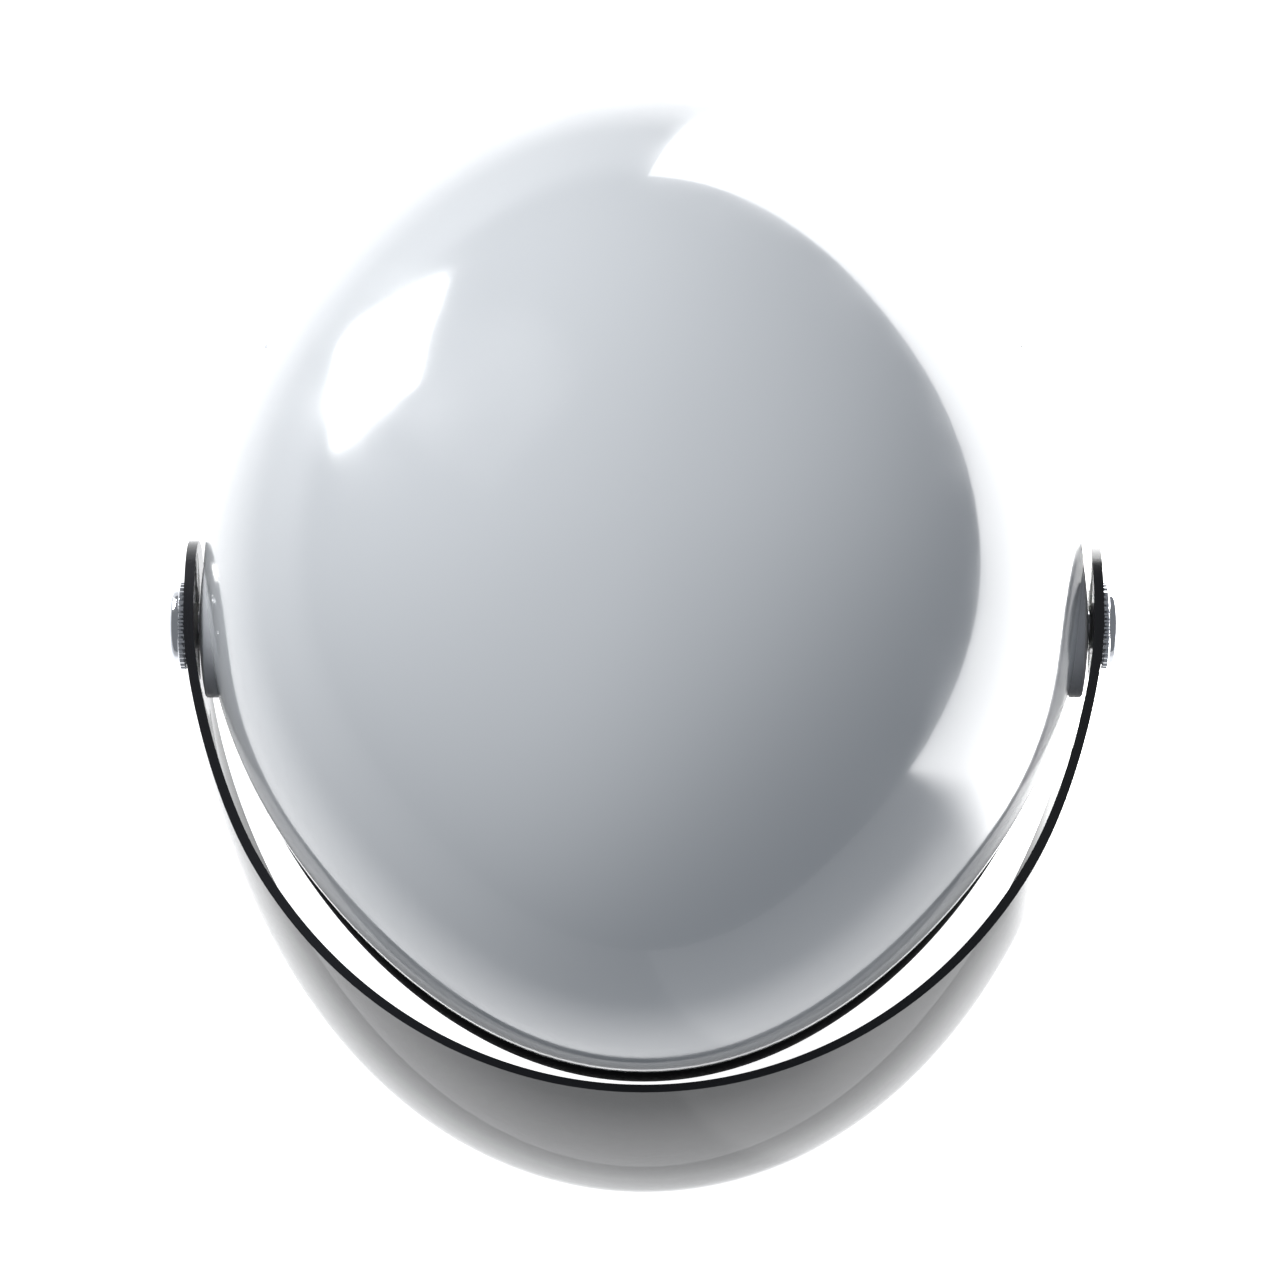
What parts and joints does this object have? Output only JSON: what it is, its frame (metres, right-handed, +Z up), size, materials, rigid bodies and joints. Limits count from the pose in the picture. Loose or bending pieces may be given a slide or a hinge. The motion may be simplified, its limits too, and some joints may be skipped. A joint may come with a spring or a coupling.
{
  "type": "hard hat",
  "caption": "Brimless domed safety helmet with a hinged smoked visor on side thumbscrews, a ratchet headband, crown straps and a chin strap.",
  "frame": {"origin": "middle of the headband's opening, on its lower plane, where the head enters", "axes": "+Z up through the crown, -Y towards the brow and visor, +X towards the wearer's left"},
  "size_m": [0.2486, 0.2856, 0.2551],
  "materials": {
    "white_shell": "gloss",
    "black_rubber": "matt",
    "smoked_sheet": "polished",
    "white_nylon": "satin",
    "grey_nylon": "satin",
    "bright_steel": "satin",
    "chrome": "polished",
    "black_plastic": "satin",
    "grey_plastic": "satin",
    "webbing": "woven",
    "foam": "matt",
    "acetal": "satin"
  },
  "bodies": {
    "hat": {"shell": "white_shell", "rim_trim": "black_rubber", "brow_seal": "black_rubber", "pivot_pad_left": "grey_nylon", "pivot_pad_right": "grey_nylon", "insert_left": "bright_steel", "insert_right": "bright_steel", "headband": "grey_plastic", "sweatband": "foam", "ratchet_front_cover": "black_plastic", "ratchet_back_cover": "black_plastic", "cover_screws": "bright_steel", "nape_pad": "foam", "harness_keys": "grey_plastic", "crown_strap_a": "webbing", "crown_strap_b": "webbing", "crown_pad": "foam", "crown_rivet": "bright_steel", "yoke_left": "webbing", "yoke_right": "webbing", "divider_left": "black_plastic", "divider_right": "black_plastic", "chin_web_left": "webbing", "chin_web_right": "webbing", "buckle_socket": "black_plastic", "chin_pad": "foam"},
    "visor": {"visor": "smoked_sheet", "bush_left": "white_nylon", "bush_right": "white_nylon"},
    "knob_left": {"thumbscrew_left": "chrome", "spring_washer_left": "bright_steel"},
    "knob_right": {"thumbscrew_right": "chrome", "spring_washer_right": "bright_steel"},
    "ratchet": {"ratchet_knob": "black_plastic", "pinion": "acetal", "detent_spring": "bright_steel"},
    "left_tail": {"tail_left": "grey_plastic"},
    "right_tail": {"tail_right": "grey_plastic"},
    "plug": {"buckle_plug": "black_plastic"}
  },
  "joints": [
    {"name": "visor_hinge", "type": "hinge", "parent": "hat", "child": "visor", "pos_m": [0, -0.0115, 0.018], "axis": [-1, 0, 0], "range_deg": [0, 85]},
    {"name": "thumbscrew_left_turn", "type": "hinge", "parent": "hat", "child": "knob_left", "pos_m": [0.12, -0.0115, 0.018], "axis": [1, 0, 0], "continuous": true},
    {"name": "thumbscrew_right_turn", "type": "hinge", "parent": "hat", "child": "knob_right", "pos_m": [-0.12, -0.0115, 0.018], "axis": [-1, 0, 0], "continuous": true},
    {"name": "ratchet_turn", "type": "hinge", "parent": "hat", "child": "ratchet", "pos_m": [0, 0.026, 0.015], "axis": [0, 0.9135, -0.4067], "range_deg": [-108, 108]},
    {"name": "tail_left_slide", "type": "hinge", "parent": "hat", "child": "left_tail", "pos_m": [0, 0.026, 0.015], "axis": [0, 0.4067, 0.9135], "range_deg": [-8.6, 8.6]},
    {"name": "tail_right_slide", "type": "hinge", "parent": "hat", "child": "right_tail", "pos_m": [0, 0.026, 0.015], "axis": [0, 0.4067, 0.9135], "range_deg": [-8.6, 8.6]},
    {"name": "buckle_pull", "type": "slide", "parent": "hat", "child": "plug", "axis": [-0.6615, -0.4026, -0.6327], "range_m": [0, 0.014]}
  ],
  "couplings": [
    {"joint": "tail_left_slide", "follows": "ratchet_turn", "ratio": 0.078715},
    {"joint": "tail_right_slide", "follows": "ratchet_turn", "ratio": -0.076876}
  ]
}
